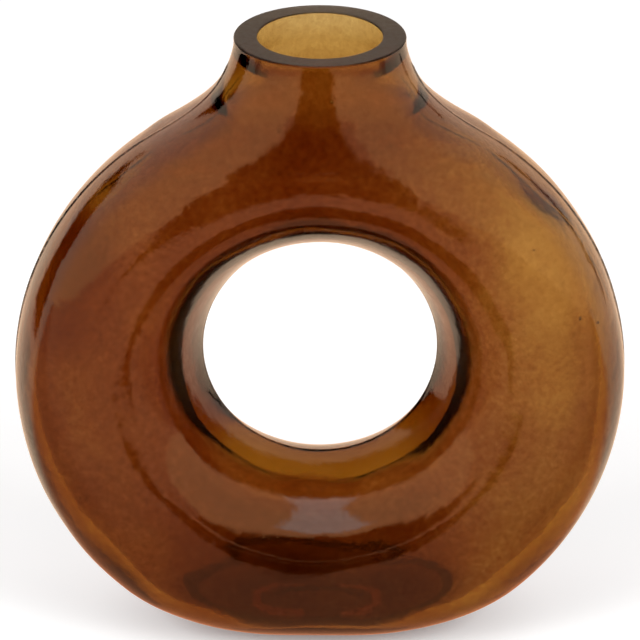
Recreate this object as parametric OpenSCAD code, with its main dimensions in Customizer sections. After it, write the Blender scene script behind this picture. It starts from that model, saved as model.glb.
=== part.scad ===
// Round glass vase: a hollow glass ring that stands on an oval foot, with a round hole
// through its middle and a short open neck on top. Millimetres, +Z up, front towards -Y,
// origin in the middle of the foot, on the surface that the vase stands on.

/* [Ring] */
// Radius of the ring's outer edge, seen from the front
ring_r = 90; // [84:1:100]
// Depth of the ring, from its front face to its back face
ring_depth = 58; // [52:1:64]
// Height of the round bottom that the flat of the foot takes away
base_cut = 8; // [5:0.5:10]
// How far the rounded outer edge reaches in across each face
edge_run = 21; // [18:0.5:22]
// Thickness of the glass
wall = 6; // [4:0.25:7]

/* [Hole] */
// Diameter of the hole at its waist
hole_d = 69; // [60:1:76]
// Height of the hole's centre above the ring's centre
hole_raise = 8.5; // [4:0.5:10]
// Thickness of the glass at the hole's waist, where the two sides were pressed together
waist_wall = 8.5; // [6:0.25:10]
// How far the hole's flare reaches out across each face
flare_run = 27; // [24:0.5:28]
// Height of the face left between the hole's flare and the shoulder
face_land = 2; // [1:0.5:3]

/* [Neck] */
// Thickness of the glass at the neck, just under the rim
neck_wall = 6.25; // [5:0.25:7.5]
// Height of the rim above the top of the ring
neck_rise = 16.5; // [15:0.5:20]
// Reach of the hollow curve between the neck and the ring, to the sides
side_sweep = 23; // [16:0.5:26]
// Height over which the neck's root grows out of the ring's faces
root_h = 20; // [16:0.5:24]
// Height of the round part of the neck, rim included
collar_h = 8; // [7:0.5:9]

/* [Mouth] */
// Diameter of the round opening
mouth_d = 35.5; // [33:0.5:37]
// Height of the ground rim
rim_h = 2.5; // [2:0.5:4]
// Width of the bevels that break the rim's two edges
rim_bevel = 0.6; // [0.3:0.1:0.8]

/* [Foot] */
// Height of the foot, up to where it meets the ring's faces
foot_h = 18; // [14:0.5:22]
// How far the foot's rounding draws the flat in from the ring's outline
foot_inset = 15.5; // [10:0.5:16]
// Thickness of the glass floor
floor_t = 8.5; // [6:0.5:10]
// How far the rounding above the floor draws the cavity in
floor_round = 2; // [1:0.5:6]
// Height of the shallow hollow under the foot
push_up = 1.5; // [1:0.1:2.5]
// Width of the flat on which the foot stands, round that hollow
tread_w = 4; // [3:0.5:6]

/* [Mould seam] */
// Width of the fine raised line where the mould's halves met
seam_w = 1.2; // [0.8:0.1:2]
// Height of that line
seam_h = 0.4; // [0.2:0.1:0.6]

/* [Hidden] */

// Fullness of the rounded outer edge: 2 is an ellipse, more is squarer
edge_fullness_share = 2.3;
// Fullness of the hole's flare where it leaves the face, and at the waist, where it is
// almost a cone
flare_fullness_share = 2.3;
waist_fullness_share = 1.2;
// The same for the cavity's side of the flare, which is rounder
cavity_face_fullness_share = 2.5;
cavity_waist_fullness_share = 2;
// Fullness of the shoulder's oval where it leaves the ring
shoulder_fullness_share = 2.9;
// Share of the shoulder's height over which it still follows the ring's rounded edge
ring_follow_share = 0.2;
// Share of a quarter turn at which the points of a rounded edge lie
arc_shares = [for (i = [0:12]) i / 12];
// Points round each level of the foot and the shoulder, and levels of each
round_count = 72;
foot_levels = 9;
shoulder_levels = 17;
// Halvings in the search for a surface
search_count = 18;
// Softness of the change from the neck's side to its root
root_soft = 3;
// Half the height over which a slope is measured
slope_step = 0.1;

half_depth = ring_depth / 2;
ring_z = ring_r - base_cut;
hole_r = hole_d / 2;
hole_z = ring_z + hole_raise;
mouth_r = mouth_d / 2;
neck_r = mouth_r + neck_wall;
shoulder_z = hole_z + hole_r + flare_run + face_land;
overall_h = ring_z + ring_r + neck_rise;
collar_z = overall_h - collar_h;
rim_z = overall_h - rim_h;
shoulder_h = collar_z - shoulder_z;

ring_glass = [0.56, 0.33, 0.15];
hole_glass = [0.66, 0.42, 0.20];
foot_glass = [0.35, 0.19, 0.10];
neck_glass = [0.60, 0.38, 0.18];
rim_glass = [0.36, 0.30, 0.24];
seam_glass = [0.42, 0.22, 0.10];

// Smooth least of two values, blended where they differ by less than reach
function soft_min(a, b, reach) =
    let (h = max(0, min(1, 0.5 + (b - a) / reach / 2)))
    b * (1 - h) + a * h - reach * h * (1 - h);

// The ring's outline without its hole, as a level that is zero on the surface, for a ring
// that is drawn in all over by inner
function ring_level(x, y, z, inner) =
    let (r = norm([x, z - ring_z]),
         run = edge_run - inner,
         u = max(0, r - ring_r + edge_run) / run,
         v = abs(y) / (half_depth - inner),
         p = edge_fullness_share)
    (pow(pow(u, p) + pow(v, p), 1 / p) - 1) * run;

// The shoulder's side in the ring's own plane, where the ring's top sweeps up into the neck
function side_level(x, z, inner) =
    let (reach = side_sweep + inner,
         root = reach * (shoulder_z + root_h - z) / root_h,
         stem = -soft_min((inner > 0 ? mouth_r : neck_r) - x, -root, root_soft))
    soft_min(stem, ring_level(x, 0, z, inner), reach);

function side_reach(z, inner, low = 0, high = 2 * ring_r, n = search_count) =
    n == 0 ? low :
    let (mid = (low + high) / 2)
    side_level(mid, z, inner) < 0 ?
        side_reach(z, inner, mid, high, n - 1) : side_reach(z, inner, low, mid, n - 1);

// Goes from 0 to 1 with level ends
function ease(s) = let (t = min(1, s)) t * t * (3 - 2 * t);

// Half the shoulder's width at height z, which ends in the round bore on the inside
function shoulder_side(z, inner) =
    let (lack = inner > 0 ? mouth_r - side_reach(collar_z, inner) : 0)
    side_reach(z, inner) + lack * pow((z - shoulder_z) / shoulder_h, 4);

// Half the shoulder's depth at height z: an even curve that leaves the ring's face at its
// slope and meets the collar at its own
function shoulder_front(z, inner) =
    let (s = (z - shoulder_z) / shoulder_h,
         start = ring_reach(90, shoulder_z, inner),
         end = shoulder_side(collar_z, inner),
         low = start - ring_reach(90, shoulder_z + slope_step, inner),
         high = inner > 0 ? 0 : side_reach(collar_z - slope_step, 0) - end,
         scale = shoulder_h / slope_step)
    start + (end - start) * ease(s) - scale * s * (1 - s) * (low * (1 - s) - high * s);

// The shoulder as a level: an oval of the given half width and depth, which starts as the
// ring's own section
function shoulder_level(x, y, z, inner, side, front) =
    let (s = (z - shoulder_z) / shoulder_h,
         p = 2 + (shoulder_fullness_share - 2) * pow(1 - s, 2),
         rho = norm([x, y]),
         oval = rho * (1 - pow(pow(abs(x) / side, p) + pow(abs(y) / front, p), -1 / p)),
         k = ease(s / ring_follow_share))
    k * oval + (1 - k) * ring_level(x, y, z, inner);

// Distance from the upright axis to the surface, in direction a at height z
function ring_reach(a, z, inner, low = 0, high = 2 * ring_r, n = search_count) =
    n == 0 ? low :
    let (mid = (low + high) / 2)
    ring_level(mid * cos(a), mid * sin(a), z, inner) < 0 ?
        ring_reach(a, z, inner, mid, high, n - 1) : ring_reach(a, z, inner, low, mid, n - 1);

function shoulder_reach(a, z, inner, side, front, low, high, n = search_count) =
    n == 0 ? low :
    let (mid = (low + high) / 2)
    shoulder_level(mid * cos(a), mid * sin(a), z, inner, side, front) < 0 ?
        shoulder_reach(a, z, inner, side, front, mid, high, n - 1) :
        shoulder_reach(a, z, inner, side, front, low, mid, n - 1);

function turn(i) = 360 * i / round_count;

// One closed skin through rows of points, each row once round; the last row joins the first
module ring_of_rows(rows) {
    m = round_count;
    n = len(rows);
    polyhedron(
        points = [for (row = rows) each row],
        faces = [for (j = [0:n - 1], i = [0:m - 1])
            let (a = j * m + i, b = j * m + (i + 1) % m,
                 c = (j + 1) % n * m + (i + 1) % m, d = (j + 1) % n * m + i)
            each [[a, c, b], [a, d, c]]]);
}

// One closed skin through rows of points with a single point at each end
module bowl_of_rows(first, rows, last) {
    m = round_count;
    n = len(rows);
    polyhedron(
        points = concat([for (row = rows) each row], [first, last]),
        faces = concat(
            [for (i = [0:m - 1]) [m * n, i, (i + 1) % m]],
            [for (j = [0:n - 2], i = [0:m - 1])
                let (a = j * m + i, b = j * m + (i + 1) % m, c = b + m, d = a + m)
                each [[a, c, b], [a, d, c]]],
            [for (i = [0:m - 1]) [m * n + 1, m * (n - 1) + (i + 1) % m, m * (n - 1) + i]]));
}

// Half of a rounded edge's outline as points [run, depth], from the middle plane outwards:
// an arc that falls from run to nothing while depth rises to full, with one fullness at the
// face and one at the middle plane
function edge_arc(run, depth, face_fullness, middle_fullness) =
    [for (s = arc_shares)
        [run * pow(cos(90 * s), 2 / face_fullness), depth * pow(sin(90 * s), 2 / middle_fullness)]];

function mirrored(points) = [for (i = [len(points) - 1:-1:1]) [points[i][0], -points[i][1]]];

// A disc with rounded edges, standing upright about the ring's centre
module upright_disc(inner) {
    arc = edge_arc(edge_run - inner, half_depth - inner, edge_fullness_share, edge_fullness_share);
    side = [for (p = concat(mirrored(arc), arc)) [ring_r - edge_run + p[0], p[1]]];
    translate([0, 0, ring_z]) rotate([90, 0, 0])
        rotate_extrude() polygon(concat([[0, inner - half_depth]], side, [[0, half_depth - inner]]));
}

// The hollow disc of the ring without its middle, between the foot and the shoulder
module ring_shell() {
    difference() {
        upright_disc(0);
        upright_disc(wall);
        translate([0, 0, hole_z]) rotate([90, 0, 0])
            cylinder(r = hole_r + flare_run, h = 2 * ring_depth, center = true);
        translate([-2 * ring_r, -ring_depth, shoulder_z]) cube([4 * ring_r, 2 * ring_depth, ring_r]);
        translate([-2 * ring_r, -ring_depth, foot_h - ring_r]) cube([4 * ring_r, 2 * ring_depth, ring_r]);
    }
}

module half_shell(side) {
    intersection() {
        ring_shell();
        translate([-2 * ring_r, side > 0 ? 0 : -ring_depth, 0]) cube([4 * ring_r, ring_depth, 2 * ring_r]);
    }
}

// The glass in front, as the front half of the mould left it
module front_shell() {
    color(ring_glass) half_shell(-1);
}

// The glass behind, as the back half of the mould left it
module back_shell() {
    color(ring_glass) half_shell(1);
}

// The flared glass tube round the hole, which joins the front face to the back one
module hole_wall() {
    reach = hole_r + flare_run;
    arc = edge_arc(flare_run, half_depth, flare_fullness_share, waist_fullness_share);
    hidden_arc = edge_arc(flare_run - waist_wall, half_depth - wall,
        cavity_face_fullness_share, cavity_waist_fullness_share);
    open_side = [for (p = concat(mirrored(arc), arc)) [reach - p[0], p[1]]];
    cavity_side = [for (p = concat(mirrored(hidden_arc), hidden_arc)) [reach - p[0], p[1]]];
    back_to_front = [for (i = [len(cavity_side) - 1:-1:0]) cavity_side[i]];
    color(hole_glass) translate([0, 0, hole_z]) rotate([90, 0, 0])
        rotate_extrude() polygon(concat(open_side, back_to_front));
}

// How far the foot's outline is drawn in at height z, less the higher up
function foot_draw(z) = foot_inset * (1 - sqrt(1 - pow(1 - z / foot_h, 2)));

function foot_row(z, inner) =
    [for (i = [0:round_count - 1])
        let (rho = ring_reach(turn(i), z, inner) - foot_draw(z))
        [rho * cos(turn(i)), rho * sin(turn(i)), z]];

// A level of the cavity above the floor, where a small rounding leads into the walls
function floor_row(s, inner) =
    let (z = floor_t + (foot_h - floor_t) * s, drawn = floor_round * (1 - sqrt(1 - pow(1 - s, 2))))
    [for (i = [0:round_count - 1])
        let (rho = ring_reach(turn(i), z, inner) - drawn)
        [rho * cos(turn(i)), rho * sin(turn(i)), z]];

// A row of points brought to height z and drawn in by width where it is narrowest
function drawn_in(row, width, z) =
    let (narrow = min([for (p = row) norm([p[0], p[1]])]), k = (narrow - width) / narrow)
    [for (p = row) [p[0] * k, p[1] * k, z]];

// The thick oval bottom with the flat tread that it stands on, and the cavity's floor
module foot() {
    // Levels lie closer together near the floor, where the rounding turns fastest
    level_shares = [for (i = [0:foot_levels]) pow(i / foot_levels, 2)];
    outside = [for (s = level_shares) foot_row(foot_h * s, 0)];
    inside = [for (i = [foot_levels:-1:0]) floor_row(level_shares[i], wall)];
    tread = outside[0];
    hollow_edge = drawn_in(tread, tread_w, 0);
    hollow_top = drawn_in(tread, tread_w + push_up, push_up);
    color(foot_glass) bowl_of_rows([0, 0, push_up],
        concat([hollow_top, hollow_edge], outside, inside), [0, 0, floor_t]);
}

// A level of the shoulder, which turns round towards the collar
function shoulder_row(z, inner) =
    let (side = shoulder_side(z, inner), front = shoulder_front(z, inner))
    [for (i = [0:round_count - 1])
        let (rho = shoulder_reach(turn(i), z, inner, side, front, front / 2, 2 * side))
        [rho * cos(turn(i)), rho * sin(turn(i)), z]];

// The top of the ring, sweeping up into the root of the neck
module shoulder() {
    rise = shoulder_h / shoulder_levels;
    outside = [for (j = [0:shoulder_levels]) shoulder_row(shoulder_z + rise * j, 0)];
    inside = [for (j = [shoulder_levels:-1:0]) shoulder_row(shoulder_z + rise * j, wall)];
    color(neck_glass) ring_of_rows(concat(outside, inside));
}

// The round part of the neck below the rim, with the straight bore
module neck() {
    outline = [for (s = arc_shares) let (z = collar_z + (rim_z - collar_z) * s) [side_reach(z, 0), z]];
    color(neck_glass) rotate_extrude()
        polygon(concat([[mouth_r, rim_z], [mouth_r, collar_z]], outline));
}

// The ground lip with its two bevelled edges
module rim() {
    outer = side_reach(rim_z, 0);
    color(rim_glass) rotate_extrude() polygon([
        [mouth_r, rim_z], [outer, rim_z], [outer, overall_h - rim_bevel], [outer - rim_bevel, overall_h],
        [mouth_r + rim_bevel, overall_h], [mouth_r, overall_h - rim_bevel]]);
}

// The fine raised line on the outer edge and round the hole's waist, where the mould parted
module mould_seam() {
    color(seam_glass) {
        translate([0, 0, ring_z]) rotate([90, 0, 0]) intersection() {
            difference() {
                cylinder(r = ring_r + seam_h, h = seam_w, center = true);
                cylinder(r = ring_r, h = 2 * seam_w, center = true);
            }
            translate([-2 * ring_r, foot_h - ring_z, -seam_w])
                cube([4 * ring_r, shoulder_z - foot_h, 2 * seam_w]);
        }
        translate([0, 0, hole_z]) rotate([90, 0, 0]) difference() {
            cylinder(r = hole_r, h = seam_w, center = true);
            cylinder(r = hole_r - seam_h, h = 2 * seam_w, center = true);
        }
    }
}

front_shell();
back_shell();
hole_wall();
foot();
shoulder();
neck();
rim();
mould_seam();
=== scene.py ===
"""Round ring-shaped vase of amber-brown tinted glass on a pale studio floor."""
import math

import bpy
import numpy as np
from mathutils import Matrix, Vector


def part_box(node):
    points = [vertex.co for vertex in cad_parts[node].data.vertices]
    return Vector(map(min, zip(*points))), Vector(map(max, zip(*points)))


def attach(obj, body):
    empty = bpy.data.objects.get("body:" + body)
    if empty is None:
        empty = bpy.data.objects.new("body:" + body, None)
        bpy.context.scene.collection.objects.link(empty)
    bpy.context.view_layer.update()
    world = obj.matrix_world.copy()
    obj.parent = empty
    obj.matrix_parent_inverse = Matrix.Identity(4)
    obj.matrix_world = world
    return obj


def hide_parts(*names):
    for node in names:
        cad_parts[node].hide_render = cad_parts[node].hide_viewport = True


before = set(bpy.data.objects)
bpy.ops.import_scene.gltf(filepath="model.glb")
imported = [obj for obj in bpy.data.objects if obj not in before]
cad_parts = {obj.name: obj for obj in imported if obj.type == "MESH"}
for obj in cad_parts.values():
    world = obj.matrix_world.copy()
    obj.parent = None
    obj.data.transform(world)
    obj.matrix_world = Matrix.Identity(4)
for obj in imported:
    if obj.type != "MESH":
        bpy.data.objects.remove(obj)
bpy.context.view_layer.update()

MM = 0.001

# The vase's sizes, read from the frame
ring_low, ring_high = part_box("front_shell")
hole_low, hole_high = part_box("hole_wall")
RING_R = ring_high[0]
HALF_DEPTH = -ring_low[1]
SHOULDER_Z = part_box("shoulder")[0][2]
COLLAR_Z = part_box("neck")[0][2]
RIM_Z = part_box("rim")[0][2]
TOP_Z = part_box("rim")[1][2]
FOOT_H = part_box("foot")[1][2]
HOLE_Z = (hole_low[2] + hole_high[2]) / 2

# Sizes of the same vase that no box gives, as in the part's source
EDGE_RUN = 21 * MM
RING_Z = HOLE_Z - 8.5 * MM
HOLE_R = 34.5 * MM
FLARE_RUN = 27 * MM
WALL = 6 * MM
WAIST_WALL = 8.5 * MM
MOUTH_R = 17.75 * MM
NECK_R = 24 * MM
SIDE_SWEEP = 23 * MM
ROOT_H = 20 * MM
ROOT_SOFT = 3 * MM
FOOT_INSET = 15.5 * MM
FLOOR_T = 8.5 * MM
FLOOR_ROUND = 2 * MM
PUSH_UP = 1.5 * MM
PUSH_UP_REACH = (4 * MM, 8.5 * MM)
RIM_BEVEL = 0.6 * MM
EDGE_FULLNESS = 2.3
FLARE_FULLNESS = 2.3
WAIST_FULLNESS = 1.2
CAVITY_FACE_FULLNESS = 2.5
CAVITY_WAIST_FULLNESS = 2.0
SHOULDER_FULLNESS = 2.9
RING_FOLLOW = 0.2
SLOPE_STEP = 0.1 * MM
HALVINGS = 40

# What the solids leave out: the seam's soft ridge, lower round the hole's waist, and the
# glass's waves, which calm down towards the collar and the foot
SEAM_H = 0.38 * MM
SEAM_W = 0.5 * MM
SEAM_REACH = 3 * MM
SEAM_FADE = 6 * MM
WAIST_SEAM = 0.6
OUTER_WAVE, OUTER_WAVE_RUN = 0.23 * MM, 26 * MM
INNER_WAVE, INNER_WAVE_RUN = 1.0 * MM, 30 * MM
WAVES = 7
CALM_COLLAR = 12 * MM
CALM_FOOT = 6 * MM

# Bubbles in the front and back faces: their number, how far out they start as a share of half
# the depth, and in mm their radius and their depth under the surface
BUBBLES = 26
BUBBLES_FROM = 0.6
BUBBLE_R = (0.18, 0.45)
BUBBLE_DEPTH = (1.2, 3.0)
BUBBLE_STRETCH = 0.8
BUBBLE_ROWS, BUBBLE_SIDES = 5, 8

# The mesh's cells, finer across the mould seam
CELL = 1.45 * MM
SEAM_ROWS = np.array([0.25, 0.75, 1.35, 2.1, 3.1, 4.4]) * MM
NEXT_ROW = 5.9 * MM
RELAX_ROUNDS = 8
FLATTEST = 0.05
TINY = 0.01 * MM

# Seeds of the random draws
OUTER_SEED, INNER_SEED, BUBBLE_SEED, RAGGED_SEED = 3, 5, 11, 17

# The turned collar: points round it, and rows up its outside, over its bevels and down its bore
COLUMNS = 160
OUTER_ROWS, BORE_ROWS = 6, 5
BEVEL_TURNS = [math.radians(a) for a in (0, 22.5, 45, 67.5, 90)]
COLLAR_GAP = 0.3 * MM

# The glass: what it takes from light on its way, and its shade's colour on the floor
IOR = 1.5
DEPTH_COLOUR = (0.753, 0.556, 0.0625)
DEPTH_DENSITY = 320
SHADE_COLOUR = (0.70, 0.52, 0.33)
# Scale, detail, roughness and distortion of its clouds, specks, ripples and grain
CLOUD_NOISE = (34, 6, 0.6, 0.6)
SPECK_NOISE = (450, 7, 0.8)
RIPPLE_NOISE = (210, 1, 0.4, 0.4)
GRAIN_NOISE = (1300, 3)
RIPPLE_H = 0.09 * MM
GRAIN_H = 0.15 * MM
GRAIN_STRENGTH = 0.15
# How rough it is from clear to cloudy, and what the rim's ground face has more
CLOUD_ROUGHNESS = (0.3, 0.7, 0.005, 0.03)
SATIN = 0.35
SATIN_TINT = (0.2, 0.2, 0.22)
# Its tint from dark to pale, and how far the place in X, the clouds and the specks move it
TINTS = ((0.0, (0.44, 0.20, 0.09)), (0.33, (0.59, 0.38, 0.28)), (0.62, (0.78, 0.69, 0.61)),
         (1.0, (1.0, 0.98, 0.95)))
SIDE_TINT = 2.0
CLOUD_TINT = 0.65
SPECK_TINT = 1.6
# Smooth changes of the tint: along what, from where to where, and from how much to how much.
# They darken it in the middle, at both edges and under the hole, and pale it at the very foot
# and in the mouth.
TINT_CHANGES = (("aside", 0.02, 0.075, -1.0, -0.55), ("x", -0.088, -0.073, -0.3, 0),
                ("x", 0.073, 0.088, 0, -0.3), ("z", 0.012, 0.03, 0.16, 0),
                ("z", 0.035, 0.085, -0.14, 0), ("z", 0.165, 0.178, 0, 0.7))
# A painted highlight that pales the bottom of the hole's wall: its strength, its outer edge and
# its upper end, both measured from the hole's middle
PAINTED_WAIST_HIGHLIGHT = 0.9
PAINTED_WAIST_HIGHLIGHT_EDGE = (0.040, 0.048)
PAINTED_WAIST_HIGHLIGHT_END = (-0.034, -0.018)
# Broad patches that make the tint darker or paler; the strongest, dark one at the upper left is
# a painted dark reflection: each one's place in X and Z, its reach and its strength, which is
# full up to a third of the reach
PATCHES_AND_PAINTED_REFLECTION = ((-0.052, 0.083, 0.034, -0.22), (-0.077, 0.120, 0.028, -0.5),
          (0.066, 0.082, 0.028, -0.09), (0.066, 0.130, 0.030, 0.15),
          (-0.030, 0.150, 0.022, 0.15), (0.034, 0.152, 0.022, 0.15))
# Painted shade: a dark line along the crease round the cavity's floor, where it traps the light:
# half its width and depth, how square its outline is, and its bounds in share of these and in
# height above the floor
CREASE = (38.7 * MM, 20.4 * MM, 2.6)
CREASE_REACH = ((0.82, 0.89), (1.08, 1.16))
CREASE_RISE = 2.2 * MM
PAINTED_CREASE_SHADE = (0.03, 0.012, 0.01)

# The floor: its colour, and what it glows by itself under the vase, round it and far out; its
# weaker glow under the vase is a painted contact shadow
FLOOR_HALF = 3.0
FLOOR_COLOUR = (0.86, 0.86, 0.86)
FLOOR_SHADE = (0.12, 0.12, 0.12)
FLOOR_LIFT = (0.33, 0.33, 0.33)
FLOOR_FAR = (0.7, 0.7, 0.7)
SHADE_STRETCH = (1, 1.8, 0)
SHADE_REACH = (0.025, 0.075)
FAR_REACH = (1.0, 2.0)
# The studio as the glass mirrors it: warm in front, paler behind, and the floor likewise,
# with where the one turns into the other
SURROUND = ((2.2, 1.1, 0.48), (0.95, 0.72, 0.55))
SURROUND_TURN = (-0.2, 0.5)
# Painted light and shade on the floor that only mirrored rays see: amber light through the vase far
# in front, the vase's shadow nearer it, and pale floor behind
FLOOR_GLINT = ((1.4, 0.6, 0.3), (0.87, 0.33, 0.16), (1.15, 0.8, 0.55))
GLINT_TURNS = ((-0.16, -0.08), (0.0, 0.05))
# The world as matt surfaces and as the camera see it
WORLD_LIGHT = (0.45, 0.45, 0.45)
WHITE = (1, 1, 1)

# Cards that only the glass mirrors: the dark opening in front with its dark floor, a dark gap
# on each side, and the light overhead
FRONT_Y = -0.345
FRONT_OPENING = [(x, FRONT_Y, z) for x, z in (
    (-0.115, 0.0), (0.07, 0.0), (0.076, 0.06), (0.085, 0.13), (0.10, 0.20), (0.095, 0.25),
    (0.06, 0.27), (0.02, 0.30), (-0.03, 0.295), (-0.07, 0.27), (-0.12, 0.265), (-0.158, 0.24),
    (-0.15, 0.16), (-0.132, 0.08))]
FRONT_FLOOR = [(x, y, 0.001) for x, y in (
    (0.03, -0.155), (0.032, -0.129), (0.025, -0.102), (0.012, -0.090), (0, -0.079),
    (-0.015, -0.082), (-0.028, -0.088), (-0.036, -0.115), (-0.03, -0.155))]
LOW_SILL = [(x, -0.155, z) for x, z in (
    (-0.05, 0.002), (0.05, 0.002), (0.05, 0.018), (-0.05, 0.018))]
LEFT_GAP = [(-0.5, y, z) for y, z in (
    (0.10, 0.0), (0.40, 0.0), (0.43, 0.08), (0.47, 0.13), (0.55, 0.19), (0.58, 0.31), (0.66, 0.39),
    (0.31, 0.36), (0.27, 0.31), (0.19, 0.23), (0.16, 0.16), (0.12, 0.11))]
RIGHT_GAP = [(0.5, y, z) for y, z in (
    (0.34, 0.0), (0.40, 0.0), (0.45, 0.10), (0.55, 0.19), (0.66, 0.39), (0.58, 0.37), (0.48, 0.19),
    (0.39, 0.10))]
OVERHEAD = [(x, y, 0.8) for x, y in (
    (0.34, 0.06), (0.33, -0.065), (0.165, -0.245), (0.35, -0.82), (-0.42, -0.80), (-0.165, -0.245),
    (-0.33, -0.065), (-0.34, 0.06))]
OVERHEAD_LIGHT = (2.6, 2.1, 1.75)
# The ragged edge of the front opening: how far it strays, its steps to a side, and the height
# that it starts at
RAGGED = 0.0045
RAGGED_STEPS = 12
RAGGED_FROM = 0.01

# Lamps and camera
SOFTBOXES = (("left_softbox", (-1.3, -1.0, 1.0)), ("right_softbox", (1.3, -1.0, 1.0)))
SOFTBOX_TARGET = (0, 0, 0.09)
SOFTBOX_SIZE = (0.8, 1.2)
SOFTBOX_POWER = 22
CAMERA_RISE = math.radians(25.9)
CAMERA_DISTANCE = 1.0
CAMERA_TARGET_Z = 0.0990
LENS, SENSOR = 191.3, 36


def soft_min(a, b, reach):
    h = np.clip(0.5 + 0.5 * (b - a) / reach, 0, 1)
    return b * (1 - h) + a * h - reach * h * (1 - h)


def smooth_step(value, low, high):
    t = np.clip((value - low) / (high - low), 0, 1)
    return t * t * (3 - 2 * t)


def fullness_level(u, v, face, middle, run):
    return ((u ** face + v ** middle) ** (2 / (face + middle)) - 1) * run


def ring_level(x, y, z, inner):
    """Below zero inside the ring's outline without its hole; inner draws it in all over."""
    run = EDGE_RUN - inner
    u = np.maximum(np.hypot(x, z - RING_Z) - RING_R + EDGE_RUN, 0) / run
    v = np.abs(y) / (HALF_DEPTH - inner)
    return fullness_level(u, v, EDGE_FULLNESS, EDGE_FULLNESS, run)


def flare_level(x, y, z, inner):
    """Below zero outside the flared hole."""
    run = FLARE_RUN - (WAIST_WALL if inner else 0)
    u = np.maximum(HOLE_R + FLARE_RUN - np.hypot(x, z - HOLE_Z), 0) / run
    v = np.abs(y) / (HALF_DEPTH - inner)
    if inner:
        return fullness_level(u, v, CAVITY_FACE_FULLNESS, CAVITY_WAIST_FULLNESS, run)
    return fullness_level(u, v, FLARE_FULLNESS, WAIST_FULLNESS, run)


def side_level(x, z, inner):
    """The shoulder's side in the ring's own plane, where the ring's top sweeps up into the neck."""
    reach = SIDE_SWEEP + inner
    root = reach * (SHOULDER_Z + ROOT_H - z) / ROOT_H
    stem = -soft_min((MOUTH_R if inner else NECK_R) - x, -root, ROOT_SOFT)
    return soft_min(stem, ring_level(x, 0 * x, z, inner), reach)


def reach_of(level, z):
    """How far from the upright axis a level turns positive, at each height."""
    low, high = np.zeros_like(z), np.full_like(z, 2 * RING_R)
    for _ in range(HALVINGS):
        mid = (low + high) / 2
        inside = level(mid, z) < 0
        low, high = np.where(inside, mid, low), np.where(inside, high, mid)
    return low


def side_reach(z, inner):
    return reach_of(lambda x, z: side_level(x, z, inner), z)


# How far the shoulder reaches to the side and to the front at each height, outside (0) and
# in the cavity (WALL)
SHOULDER_H = COLLAR_Z - SHOULDER_Z
HEIGHTS = np.linspace(SHOULDER_Z, TOP_Z, 1401)
SHARES = (HEIGHTS - SHOULDER_Z) / SHOULDER_H
SIDE, FRONT = {0: side_reach(HEIGHTS, 0), WALL: side_reach(HEIGHTS, WALL)}, {}
COLLAR_R = np.interp(COLLAR_Z, HEIGHTS, SIDE[0])
SIDE[WALL] += (MOUTH_R - np.interp(COLLAR_Z, HEIGHTS, SIDE[WALL])) * SHARES ** 4
for inner, end in ((0, COLLAR_R), (WALL, MOUTH_R)):
    start, above = reach_of(lambda y, z: ring_level(0 * y, y, z, inner),
                            SHOULDER_Z + np.array([0, SLOPE_STEP]))
    low = (start - above) * SHOULDER_H / SLOPE_STEP
    high = 0 if inner else -SHOULDER_H * np.interp(COLLAR_Z, HEIGHTS, np.gradient(SIDE[0], HEIGHTS))
    FRONT[inner] = (start + (end - start) * smooth_step(SHARES, 0, 1)
                    - SHARES * (1 - SHARES) * (low * (1 - SHARES) - high * SHARES))


def shoulder_level(x, y, z, inner):
    """An oval that starts as the ring's own section and turns round towards the collar."""
    share = np.clip((z - SHOULDER_Z) / SHOULDER_H, 0, 1)
    side = np.interp(z, HEIGHTS, SIDE[inner])
    front = np.where(z < COLLAR_Z, np.interp(z, HEIGHTS, FRONT[inner]), side)
    p = 2 + (SHOULDER_FULLNESS - 2) * (1 - share) ** 2
    grown = ((np.abs(x) / side) ** p + (np.abs(y) / front) ** p) ** (1 / p)
    oval = np.hypot(x, y) * (1 - 1 / np.maximum(grown, TINY))
    k = smooth_step(share, 0, RING_FOLLOW)
    return k * oval + (1 - k) * ring_level(x, y, z, inner)


def body_level(x, y, z, inner):
    """The ring with its foot and shoulder, without the hole."""
    floor = FLOOR_T if inner else 0
    low = np.clip(1 - (z - floor) / (FOOT_H - floor), 0, 1)
    drawn = (FLOOR_ROUND if inner else FOOT_INSET) * (1 - np.sqrt(1 - low * low))
    rho = np.maximum(np.hypot(x, y), TINY)
    grow = (rho + drawn) / rho
    x, y = x * grow, y * grow
    return np.where(z > SHOULDER_Z, shoulder_level(x, y, z, inner), ring_level(x, y, z, inner))


def swell(x, y, z, length, seed):
    """A smooth irregular field of -1 to 1, with waves of about that length."""
    rng = np.random.default_rng(seed)
    total = np.zeros_like(x)
    for _ in range(WAVES):
        way = rng.normal(size=3)
        way *= 2 * math.pi / (length * rng.uniform(0.7, 1.6)) / np.linalg.norm(way)
        total += np.sin(way[0] * x + way[1] * y + way[2] * z + rng.uniform(0, 2 * math.pi))
    return total / WAVES


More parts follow.
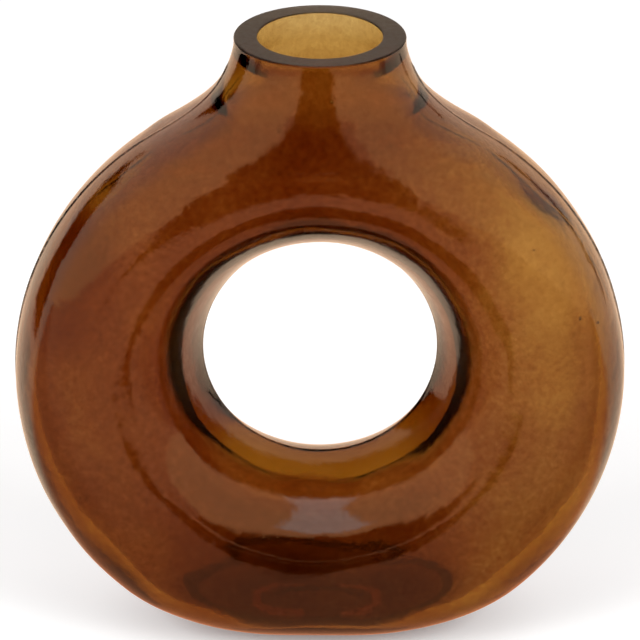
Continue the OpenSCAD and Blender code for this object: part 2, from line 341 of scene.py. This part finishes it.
def glass_level(p):
    """Below zero inside the glass, for an (n, 3) array of points below the collar."""
    x, y, z = p.T
    calm = smooth_step(COLLAR_Z - z, 0, CALM_COLLAR) * smooth_step(z, 0, CALM_FOOT)
    outside = np.maximum(body_level(x, y, z, 0), flare_level(x, y, z, 0))
    edge = np.hypot(x, z - RING_Z) > RING_R - SEAM_REACH
    waist = np.hypot(x, z - HOLE_Z) < HOLE_R + SEAM_REACH
    low_seam = smooth_step(z, FOOT_H, FOOT_H + SEAM_FADE)
    ridge = SEAM_H * np.exp(-(y / SEAM_W) ** 2) * (edge * low_seam + WAIST_SEAM * waist)
    outside += OUTER_WAVE * calm * (1 + swell(x, y, z, OUTER_WAVE_RUN, OUTER_SEED)) - ridge
    dimple = PUSH_UP * (1 - smooth_step(np.hypot(x / 2, y), *PUSH_UP_REACH))
    outside = np.maximum(outside, dimple - z)
    inside = np.maximum(body_level(x, y, z, WALL), flare_level(x, y, z, WALL))
    inside = np.maximum(inside, FLOOR_T - z)
    inside += INNER_WAVE * calm * swell(x, y, z, INNER_WAVE_RUN, INNER_SEED)
    return np.maximum(outside, -inside)


def slope(p):
    """The level's gradient."""
    step = 0.05 * MM
    parts = []
    for axis in np.eye(3) * step:
        parts.append((glass_level(p + axis) - glass_level(p - axis)) / (2 * step))
    return np.stack(parts, 1)


def onto_surface(p, rounds):
    """Moves points along the gradient to the glass's surface."""
    for _ in range(rounds):
        g = slope(p)
        move = glass_level(p)[:, None] * g / np.maximum((g * g).sum(1), FLATTEST)[:, None]
        p = p - np.clip(move, -CELL, CELL)
    return p


def planes():
    """The grid's planes along X, Y and Z."""
    xs = np.arange(0.5 * CELL, RING_R + 2 * CELL, CELL)
    ys = np.concatenate([SEAM_ROWS, np.arange(NEXT_ROW, HALF_DEPTH + 2 * CELL, CELL)])
    count = int(round((COLLAR_Z + 2 * CELL) / CELL))
    zs = COLLAR_Z - CELL * np.arange(count, -1, -1)
    return np.concatenate([-xs[::-1], xs]), np.concatenate([-ys[::-1], ys]), zs


def surface_net():
    """A point in each cell that the glass's surface crosses, and a face round each crossed edge."""
    axes = planes()
    grid = np.stack(np.meshgrid(*axes, indexing="ij"), -1)
    shape = grid.shape[:3]
    inside = (glass_level(grid.reshape(-1, 3)) < 0).reshape(shape)
    corners = sum(inside[i:shape[0] - 1 + i, j:shape[1] - 1 + j, k:shape[2] - 1 + k].astype(int)
                  for i in (0, 1) for j in (0, 1) for k in (0, 1))
    crossed = (corners > 0) & (corners < 8)
    ids = np.full(crossed.shape, -1)
    ids[crossed] = np.arange(crossed.sum())
    where = np.argwhere(crossed)
    points = np.stack([(axes[a][where[:, a]] + axes[a][where[:, a] + 1]) / 2 for a in range(3)], 1)
    faces = []
    for a in range(3):
        b, c = (a + 1) % 3, (a + 2) % 3
        near, far = [slice(None)] * 3, [slice(None)] * 3
        near[a], far[a] = slice(0, -1), slice(1, None)
        change = inside[tuple(near)] != inside[tuple(far)]
        cut = [slice(None)] * 3
        cut[b] = cut[c] = slice(1, -1)
        spots = np.argwhere(change[tuple(cut)])
        spots[:, b] += 1
        spots[:, c] += 1
        step_b, step_c = np.eye(3, dtype=int)[b], np.eye(3, dtype=int)[c]
        quad = np.stack([ids[tuple((spots - s).T)]
                         for s in (step_b + step_c, step_c, 0 * step_b, step_b)], 1)
        leaves = inside[tuple(spots.T)]
        faces.append(np.where(leaves[:, None], quad, quad[:, ::-1]))
    return points, np.concatenate(faces)


def relaxed(points, faces):
    """Evens out the net along the surface, with the rows across the seam kept in place."""
    middle = np.abs(points[:, 1]) < SEAM_ROWS[0]
    pairs = np.concatenate([faces[:, [i, (i + 1) % 4]] for i in range(4)])
    pairs = np.unique(np.sort(pairs, 1), axis=0)
    count = np.bincount(pairs.ravel(), minlength=len(points))[:, None]
    points = onto_surface(points, 4)
    for _ in range(RELAX_ROUNDS):
        total = np.zeros_like(points)
        np.add.at(total, pairs[:, 0], points[pairs[:, 1]])
        np.add.at(total, pairs[:, 1], points[pairs[:, 0]])
        move = 0.5 * (total / count - points)
        g = slope(points)
        g /= np.maximum(np.linalg.norm(g, axis=1), FLATTEST)[:, None]
        move -= (move * g).sum(1)[:, None] * g
        move[:, 1] *= smooth_step(np.abs(points[:, 1]), SEAM_ROWS[-3], SEAM_ROWS[-1])
        points = onto_surface(points + move, 1)
        points[middle, 1] = 0
    return onto_surface(points, 1)


def open_loops(faces):
    """The net's open edges at the collar, as one loop of points each."""
    edges = np.concatenate([faces[:, [i, (i + 1) % 4]] for i in range(4)])
    seen = {(a, b) for a, b in edges.tolist()}
    follows = {a: b for a, b in seen if (b, a) not in seen}
    loops = []
    while follows:
        start, b = follows.popitem()
        loop = [start]
        while b != start:
            loop.append(b)
            b = follows.pop(b)
        loops.append(loop)
    return loops


def collar_profile():
    """The collar, rim and bore from outside to inside: radius, height, and the normal's parts."""
    rows = []
    tip = 0.2 * MM
    for z in np.linspace(COLLAR_Z + COLLAR_GAP, RIM_Z, OUTER_ROWS):
        below, r, above = side_reach(np.array([z - tip, z, z + tip]), 0)
        rows.append((r, z, 1, (below - above) / (2 * tip)))
    lip_r = rows[-1][0]
    outer, inner = lip_r - RIM_BEVEL, MOUTH_R + RIM_BEVEL
    rows += [(outer + RIM_BEVEL * math.cos(a), TOP_Z - RIM_BEVEL * (1 - math.sin(a)),
              math.cos(a), math.sin(a)) for a in BEVEL_TURNS]
    rows += [(outer + (inner - outer) * s, TOP_Z, 0, 1) for s in (0.25, 0.5, 0.75)]
    rows += [(inner - RIM_BEVEL * math.cos(a), TOP_Z - RIM_BEVEL * (1 - math.sin(a)),
              -math.cos(a), math.sin(a)) for a in reversed(BEVEL_TURNS)]
    rows += [(MOUTH_R, z, -1, 0) for z in np.linspace(RIM_Z, COLLAR_Z + COLLAR_GAP, BORE_ROWS)]
    return rows


def zipped(loop, angles, ring, ring_angles, outward):
    """Triangles between a loop of points and a ring, both walked by their angle."""
    loop = [loop[i] for i in np.argsort(angles)]
    angles = np.sort(angles)
    faces, i, j = [], 0, 0
    n, m = len(loop), len(ring)
    while i < n or j < m:
        next_i = angles[i + 1] if i + 1 < n else angles[0] + 2 * math.pi
        next_j = ring_angles[j + 1] if j + 1 < m else ring_angles[0] + 2 * math.pi
        if j >= m or (i < n and next_i <= next_j):
            face = (loop[i % n], loop[(i + 1) % n], ring[j % m])
            i += 1
        else:
            face = (loop[i % n], ring[(j + 1) % m], ring[j % m])
            j += 1
        faces.append(face if outward else face[::-1])
    return faces


def add_collar(points, normals, faces):
    """Closes the net with a turned collar, rim and bore."""
    turn = 2 * math.pi * np.arange(COLUMNS) / COLUMNS - math.pi
    rows = collar_profile()
    first = len(points)
    for r, z, out, up in rows:
        length = math.hypot(out, up)
        points = np.vstack([points, np.stack([r * np.cos(turn), r * np.sin(turn),
                                              z + 0 * turn], 1)])
        normals = np.vstack([normals, np.stack([out * np.cos(turn), out * np.sin(turn),
                                                up + 0 * turn], 1) / length])
    for row in range(len(rows) - 1):
        a = first + row * COLUMNS
        for i in range(COLUMNS):
            k = (i + 1) % COLUMNS
            faces.append((a + i, a + k, a + COLUMNS + k, a + COLUMNS + i))
    quads = np.array([f for f in faces if len(f) == 4 and max(f) < first])
    last = first + (len(rows) - 1) * COLUMNS
    for loop in open_loops(quads):
        p = points[loop]
        angles = np.arctan2(p[:, 1], p[:, 0])
        outward = np.hypot(p[:, 0], p[:, 1]).mean() > (MOUTH_R + NECK_R) / 2
        ring = list(range(first, first + COLUMNS) if outward else range(last, last + COLUMNS))
        faces += zipped(loop, angles, ring, turn, outward)
    return points, normals, faces


def add_bubbles(points, normals, faces, spots, ways):
    """Small closed hollows in the wall, with their faces turned inwards."""
    rng = np.random.default_rng(BUBBLE_SEED)
    picks = rng.choice(len(spots), BUBBLES, replace=False)
    rings, sides = BUBBLE_ROWS, BUBBLE_SIDES
    for pick in picks:
        radius = rng.uniform(*BUBBLE_R) * MM
        centre = spots[pick] - ways[pick] * rng.uniform(*BUBBLE_DEPTH) * MM
        stretch = 1 + rng.uniform(0, BUBBLE_STRETCH) * np.eye(3)[rng.integers(0, 3)]
        first = len(points)
        ball = [(0, 0, -1)]
        for ring in range(1, rings):
            lift = math.pi * (ring / rings - 0.5)
            ball += [(math.cos(lift) * math.cos(2 * math.pi * s / sides),
                      math.cos(lift) * math.sin(2 * math.pi * s / sides), math.sin(lift))
                     for s in range(sides)]
        ball = np.array(ball + [(0, 0, 1)])
        points = np.vstack([points, centre + ball * radius * stretch])
        normals = np.vstack([normals, -ball])
        top = first + len(ball) - 1
        for s in range(sides):
            k = (s + 1) % sides
            faces.append((first, first + 1 + s, first + 1 + k))
            faces.append((top, top - sides + k, top - sides + s))
            for ring in range(rings - 2):
                a = first + 1 + ring * sides
                faces.append((a + s, a + sides + s, a + sides + k, a + k))
    return points, normals, faces


def placed(name, data):
    """An object with that data, linked into the scene."""
    thing = bpy.data.objects.new(name, data)
    bpy.context.collection.objects.link(thing)
    return thing


def glass_mesh():
    points, faces = surface_net()
    points = relaxed(points, faces)
    normals = slope(points)
    normals /= np.linalg.norm(normals, axis=1)[:, None]
    outer = np.flatnonzero(np.abs(points[:, 1]) > BUBBLES_FROM * HALF_DEPTH)
    outer = outer[(points[outer, 1] * normals[outer, 1]) > 0]
    spots, ways = points[outer], normals[outer]
    points, normals, faces = add_collar(points, normals, [tuple(f) for f in faces.tolist()])
    points, normals, faces = add_bubbles(points, normals, faces, spots, ways)
    mesh = bpy.data.meshes.new("glass_body")
    mesh.from_pydata(points.tolist(), [], faces)
    mesh.validate()
    mesh.polygons.foreach_set("use_smooth", [True] * len(mesh.polygons))
    mesh.normals_split_custom_set_from_vertices(normals.tolist())
    return placed("glass_body", mesh)


def emptied(thing):
    """The node tree of a material or world, with nothing in it."""
    thing.use_nodes = True
    thing.node_tree.nodes.clear()
    return thing.node_tree


def node(tree, kind, **inputs):
    made = tree.nodes.new(kind)
    for name, value in inputs.items():
        made.inputs[name.replace("_", " ")].default_value = value
    return made


def mapped(tree, value, low, high, to_low, to_high):
    """A smooth change of one value into another."""
    made = node(tree, "ShaderNodeMapRange", From_Min=low, From_Max=high, To_Min=to_low,
                To_Max=to_high)
    made.interpolation_type = "SMOOTHSTEP"
    tree.links.new(value, made.inputs["Value"])
    return made.outputs["Result"]


def maths(tree, operation, first, second=0.0):
    """A sum, product or power of two values, each a socket or a number."""
    made = node(tree, "ShaderNodeMath")
    made.operation = operation
    for socket, value in zip(made.inputs, (first, second)):
        if isinstance(value, (int, float)):
            socket.default_value = value
        else:
            tree.links.new(value, socket)
    return made.outputs["Value"]


def sums(tree, first, *others):
    for other in others:
        first = maths(tree, "ADD", first, other)
    return first


def noise(tree, place, scale, detail, roughness=0.6, distortion=0.0):
    made = node(tree, "ShaderNodeTexNoise", Scale=scale, Detail=detail, Roughness=roughness,
                Distortion=distortion)
    tree.links.new(place, made.inputs["Vector"])
    return made.outputs["Fac"]


def apart(tree, along, up):
    """The length of a step given by its two parts."""
    return maths(tree, "SQRT", sums(tree, maths(tree, "MULTIPLY", along, along),
                                    maths(tree, "MULTIPLY", up, up)))


def within(tree, value, low, high):
    """1 between two soft bounds, each a pair, else 0."""
    return maths(tree, "MULTIPLY", mapped(tree, value, *low, 0, 1),
                 mapped(tree, value, *high, 1, 0))


def parts_of(tree, place):
    """A place's X, Y and Z."""
    split = node(tree, "ShaderNodeSeparateXYZ")
    tree.links.new(place, split.inputs["Vector"])
    return split.outputs


def picked(tree, choose, base, other):
    """A colour between two, each given as three numbers or as a socket."""
    pick = node(tree, "ShaderNodeMix")
    pick.data_type = "RGBA"
    factor, first, second = (next(i for i in pick.inputs if i.identifier == name)
                             for name in ("Factor_Float", "A_Color", "B_Color"))
    tree.links.new(choose, factor)
    for socket, value in ((first, base), (second, other)):
        if isinstance(value, tuple):
            socket.default_value = (*value, 1)
        else:
            tree.links.new(value, socket)
    return next(o for o in pick.outputs if o.identifier == "Result_Color")


def blended(tree, kind, *sockets):
    """Two shaders added or mixed."""
    made = node(tree, kind)
    for socket, value in zip(made.inputs, sockets):
        tree.links.new(value, socket)
    return made.outputs["Shader"]


def mirrored(tree):
    """1 for rays that a glossy surface throws back, else 0."""
    ray = node(tree, "ShaderNodeLightPath").outputs
    return maths(tree, "MULTIPLY", ray["Is Glossy Ray"], ray["Is Reflection Ray"])


def looked_at(tree, matt, mirror, seen):
    """A colour for each kind of ray: those of matt surfaces, those mirrored, and those of the
    camera or through glass."""
    ray = node(tree, "ShaderNodeLightPath").outputs
    value = picked(tree, mirrored(tree), matt, mirror)
    value = picked(tree, ray["Is Transmission Ray"], value, seen)
    return picked(tree, ray["Is Camera Ray"], value, seen)


def glass_tint(tree, place, cloud):
    """The glass's colour at its surface, mottled, with broad darker and paler patches, one of them
    a painted dark reflection, a painted highlight at the bottom of the hole's wall, and painted
    shade along the crease.
    """
    x, y, z = parts_of(tree, place)
    aside = maths(tree, "ABSOLUTE", x)
    under = maths(tree, "SUBTRACT", z, float(HOLE_Z))
    # Painted highlight: the tint pales at the bottom of the hole's wall
    waist_highlight = maths(tree, "MULTIPLY",
                       mapped(tree, apart(tree, x, under), *PAINTED_WAIST_HIGHLIGHT_EDGE, PAINTED_WAIST_HIGHLIGHT, 0),
                       mapped(tree, under, *PAINTED_WAIST_HIGHLIGHT_END, 1, 0))
    along = {"x": x, "z": z, "aside": aside}
    changes = [mapped(tree, along[part], *numbers) for part, *numbers in TINT_CHANGES]
    # Broad patches of darker or paler tint; the strong dark one at the upper left is a painted dark
    # reflection
    patches_and_reflection = [mapped(tree, apart(tree, maths(tree, "SUBTRACT", x, at_x),
                                 maths(tree, "SUBTRACT", z, at_z)), reach / 3, reach, strength, 0)
              for at_x, at_z, reach, strength in PATCHES_AND_PAINTED_REFLECTION]
    tint = node(tree, "ShaderNodeValToRGB")
    steps = tint.color_ramp.elements
    while len(steps) < len(TINTS):
        steps.new(0.5)
    for step, (at, colour) in zip(steps, TINTS):
        step.position = at
        step.color = (*colour, 1)
    tree.links.new(sums(tree, maths(tree, "MULTIPLY", cloud, CLOUD_TINT),
                        maths(tree, "MULTIPLY", x, SIDE_TINT),
                        maths(tree, "MULTIPLY", noise(tree, place, *SPECK_NOISE), SPECK_TINT),
                        *changes, waist_highlight, *patches_and_reflection), tint.inputs["Fac"])
    wide, deep, squareness = CREASE
    shares = [maths(tree, "POWER", maths(tree, "DIVIDE", part, half), squareness)
              for part, half in ((aside, wide), (maths(tree, "ABSOLUTE", y), deep))]
    # Painted shade: the glass's tint turns dark along the crease round the cavity's floor
    crease = maths(tree, "MULTIPLY", within(tree, sums(tree, *shares), *CREASE_REACH),
                   within(tree, z, (FLOOR_T - CREASE_RISE, FLOOR_T - CREASE_RISE / 2),
                          (FLOOR_T + CREASE_RISE / 2, FLOOR_T + CREASE_RISE)))
    return picked(tree, crease, tint.outputs["Color"], PAINTED_CREASE_SHADE)


def glass_material():
    """Cloudy amber-brown glass: tinted by its depth, mottled, with fine ripples and grain."""
    material = bpy.data.materials.new("amber_glass")
    tree = emptied(material)
    link = tree.links.new
    place = node(tree, "ShaderNodeTexCoord").outputs["Object"]
    z = parts_of(tree, place)["Z"]
    cloud = noise(tree, place, *CLOUD_NOISE)
    ripple = node(tree, "ShaderNodeBump", Strength=1, Distance=RIPPLE_H)
    link(noise(tree, place, *RIPPLE_NOISE), ripple.inputs["Height"])
    grain = node(tree, "ShaderNodeBump", Strength=GRAIN_STRENGTH, Distance=GRAIN_H)
    link(noise(tree, place, *GRAIN_NOISE), grain.inputs["Height"])
    link(ripple.outputs["Normal"], grain.inputs["Normal"])
    shader = node(tree, "ShaderNodeBsdfPrincipled", Transmission_Weight=1, IOR=IOR)
    link(glass_tint(tree, place, cloud), shader.inputs["Base Color"])
    ground = (TOP_Z - RIM_BEVEL, TOP_Z - RIM_BEVEL / 2)
    link(sums(tree, mapped(tree, cloud, *CLOUD_ROUGHNESS), mapped(tree, z, *ground, 0, SATIN)),
         shader.inputs["Roughness"])
    link(picked(tree, mapped(tree, z, *ground, 0, 1), WHITE, SATIN_TINT),
         shader.inputs["Specular Tint"])
    link(grain.outputs["Normal"], shader.inputs["Normal"])
    clear = node(tree, "ShaderNodeBsdfTransparent", Color=(*SHADE_COLOUR, 1))
    shadow_ray = node(tree, "ShaderNodeLightPath").outputs["Is Shadow Ray"]
    depth = node(tree, "ShaderNodeVolumeAbsorption", Color=(*DEPTH_COLOUR, 1),
                 Density=DEPTH_DENSITY)
    out = node(tree, "ShaderNodeOutputMaterial")
    link(blended(tree, "ShaderNodeMixShader", shadow_ray, shader.outputs["BSDF"],
                 clear.outputs["BSDF"]), out.inputs["Surface"])
    link(depth.outputs["Volume"], out.inputs["Volume"])
    return material


def floor_material():
    """A pale floor that keeps the vase's shadow, and shows mirrored rays only its glint."""
    material = bpy.data.materials.new("pale_floor")
    tree = emptied(material)
    link = tree.links.new
    place = node(tree, "ShaderNodeTexCoord").outputs["Object"]
    y = parts_of(tree, place)["Y"]
    # Painted light and shade for mirrored rays: amber light far in front, the vase's shadow near it
    glint, near, behind = FLOOR_GLINT
    for turn, colour in zip(GLINT_TURNS, (near, behind)):
        glint = picked(tree, mapped(tree, y, *turn, 0, 1), glint, colour)
    flat = node(tree, "ShaderNodeVectorMath")
    flat.operation = "MULTIPLY"
    link(place, flat.inputs[0])
    flat.inputs[1].default_value = SHADE_STRETCH
    away = node(tree, "ShaderNodeVectorMath")
    away.operation = "LENGTH"
    link(flat.outputs["Vector"], away.inputs[0])
    # Painted contact shadow: the floor glows less under the vase
    lift = FLOOR_SHADE
    for reach, colour in ((SHADE_REACH, FLOOR_LIFT), (FAR_REACH, FLOOR_FAR)):
        lift = picked(tree, mapped(tree, away.outputs["Value"], *reach, 0, 1), lift, colour)
    glow = node(tree, "ShaderNodeEmission")
    link(looked_at(tree, (0, 0, 0), glint, lift), glow.inputs["Color"])
    paint = node(tree, "ShaderNodeBsdfDiffuse", Color=(*FLOOR_COLOUR, 1))
    lit = blended(tree, "ShaderNodeAddShader", paint.outputs["BSDF"], glow.outputs["Emission"])
    out = node(tree, "ShaderNodeOutputMaterial")
    link(blended(tree, "ShaderNodeMixShader", mirrored(tree), lit, glow.outputs["Emission"]),
         out.inputs["Surface"])
    return material


def softbox(name, place):
    lamp = bpy.data.lights.new(name, "AREA")
    lamp.shape = "RECTANGLE"
    lamp.size, lamp.size_y = SOFTBOX_SIZE
    lamp.energy = SOFTBOX_POWER
    box = placed(name, lamp)
    box.location = place
    way = Vector(SOFTBOX_TARGET) - Vector(place)
    box.rotation_euler = way.to_track_quat("-Z", "Y").to_euler()
    box.visible_glossy = box.visible_transmission = False


def ragged(outline):
    """An upright outline with its edge torn, apart from its foot."""
    rng = np.random.default_rng(RAGGED_SEED)
    ends = np.array(outline + outline[:1])
    steps = np.linspace(0, len(outline), RAGGED_STEPS * len(outline), endpoint=False)
    even = np.stack([np.interp(steps, np.arange(len(ends)), ends[:, a]) for a in range(3)], 1)
    jumps = np.repeat(rng.normal(size=(len(steps) // 2, 3)), 2, axis=0)
    jumps += rng.normal(size=even.shape)
    jumps[(even[:, 2] < RAGGED_FROM) | (steps < 1)] = 0
    jumps[:, 1] = 0
    return (even + RAGGED * jumps).tolist()


def card(name, outline, light=(0, 0, 0)):
    """A flat card that only the glass mirrors, dark or lit."""
    mesh = bpy.data.meshes.new(name)
    mesh.from_pydata(outline, [], [range(len(outline))])
    thing = placed(name, mesh)
    material = bpy.data.materials.new(name)
    material.use_nodes = True
    shader = material.node_tree.nodes["Principled BSDF"]
    shader.inputs["Base Color"].default_value = (0, 0, 0, 1)
    shader.inputs["Roughness"].default_value = 1
    shader.inputs["Specular IOR Level"].default_value = 0
    shader.inputs["Emission Color"].default_value = (*light, 1)
    shader.inputs["Emission Strength"].default_value = 1
    mesh.materials.append(material)
    thing.visible_camera = thing.visible_diffuse = thing.visible_shadow = False
    thing.visible_transmission = False


def studio():
    mesh = bpy.data.meshes.new("floor")
    corners = [(-FLOOR_HALF, -FLOOR_HALF, 0), (FLOOR_HALF, -FLOOR_HALF, 0),
               (FLOOR_HALF, FLOOR_HALF, 0), (-FLOOR_HALF, FLOOR_HALF, 0)]
    mesh.from_pydata(corners, [], [(0, 1, 2, 3)])
    floor = placed("floor", mesh)
    mesh.materials.append(floor_material())
    card("front_opening", ragged(FRONT_OPENING))
    card("front_floor", FRONT_FLOOR)
    card("low_sill", LOW_SILL)
    card("left_gap", LEFT_GAP)
    card("right_gap", RIGHT_GAP)
    card("overhead", OVERHEAD, OVERHEAD_LIGHT)
    for name, place in SOFTBOXES:
        softbox(name, place)
    world = bpy.data.worlds.new("studio")
    bpy.context.scene.world = world
    tree = emptied(world)
    place = node(tree, "ShaderNodeTexCoord").outputs["Generated"]
    y = parts_of(tree, place)["Y"]
    around = picked(tree, mapped(tree, y, *SURROUND_TURN, 0, 1), *SURROUND)
    back = node(tree, "ShaderNodeBackground")
    tree.links.new(looked_at(tree, WORLD_LIGHT, around, WHITE), back.inputs["Color"])
    out = node(tree, "ShaderNodeOutputWorld")
    tree.links.new(back.outputs["Background"], out.inputs["Surface"])


def camera():
    lens = bpy.data.cameras.new("camera")
    lens.lens = LENS
    lens.sensor_width = SENSOR
    eye = placed("camera", lens)
    eye.location = (0, -CAMERA_DISTANCE * math.cos(CAMERA_RISE),
                    CAMERA_TARGET_Z + CAMERA_DISTANCE * math.sin(CAMERA_RISE))
    eye.rotation_euler = (math.pi / 2 - CAMERA_RISE, 0, 0)
    bpy.context.scene.camera = eye


bpy.context.scene.view_settings.view_transform = "Standard"
camera()
vase = glass_mesh()
vase.data.materials.append(glass_material())
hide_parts("front_shell", "back_shell", "hole_wall", "foot", "shoulder", "neck", "rim",
            "mould_seam")
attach(vase, "root")
studio()
